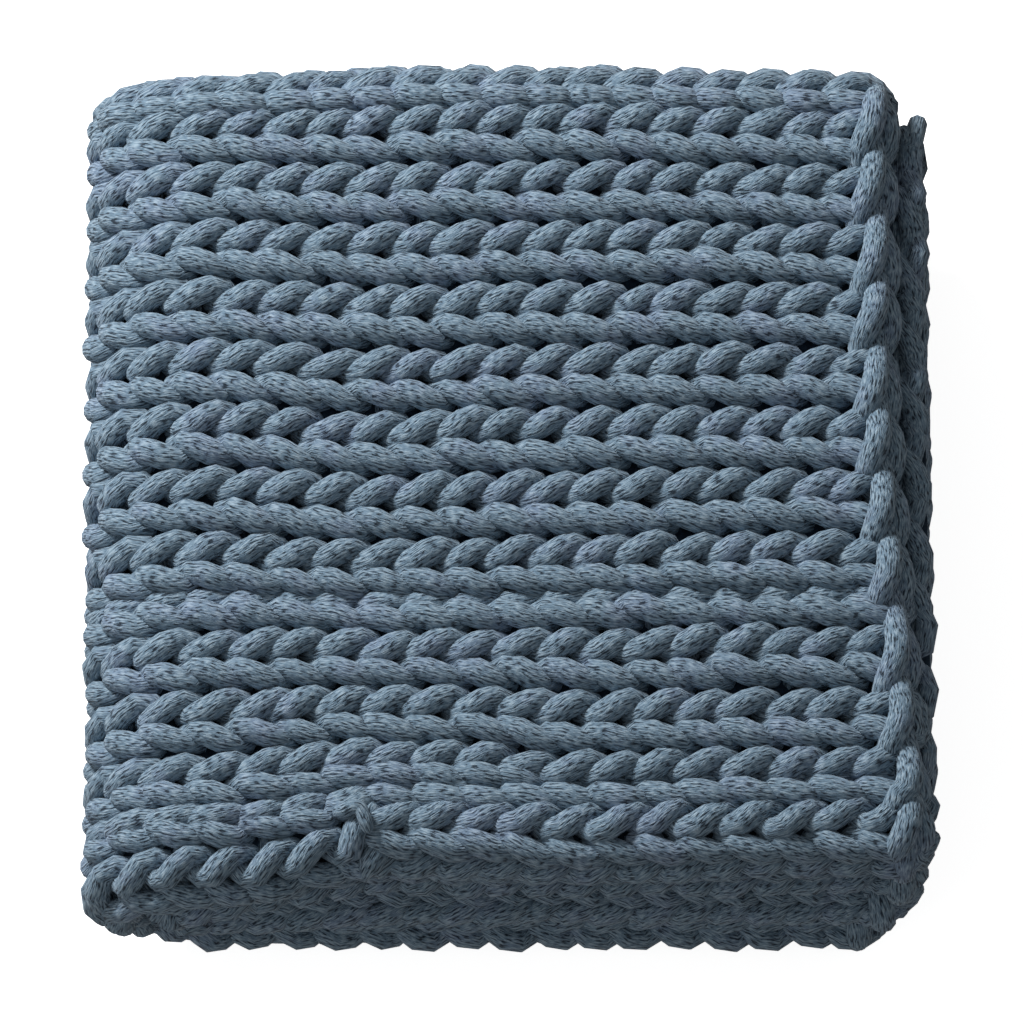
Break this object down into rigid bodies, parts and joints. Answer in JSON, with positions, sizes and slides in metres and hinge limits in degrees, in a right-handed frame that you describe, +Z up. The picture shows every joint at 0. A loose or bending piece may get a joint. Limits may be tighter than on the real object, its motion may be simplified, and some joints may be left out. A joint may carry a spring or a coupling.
{
  "type": "folded chunky knit throw blanket",
  "caption": "Thick knitted throw, folded into a square stack of layers with rounded folds at the front and left and a chain edge at the right.",
  "frame": {"origin": "on the floor, under the middle of the folded throw", "axes": "+Z up, +X towards the bound-off chain edge at the right, -Y towards the four rounded front folds"},
  "size_m": [0.3876, 0.3864, 0.1313],
  "materials": {
    "yarn": "matt, softly fuzzy, slate blue cotton-blend tube yarn in thick plain knit"
  },
  "bodies": {
    "root": {"knit_throw": "yarn"}
  },
  "joints": []
}
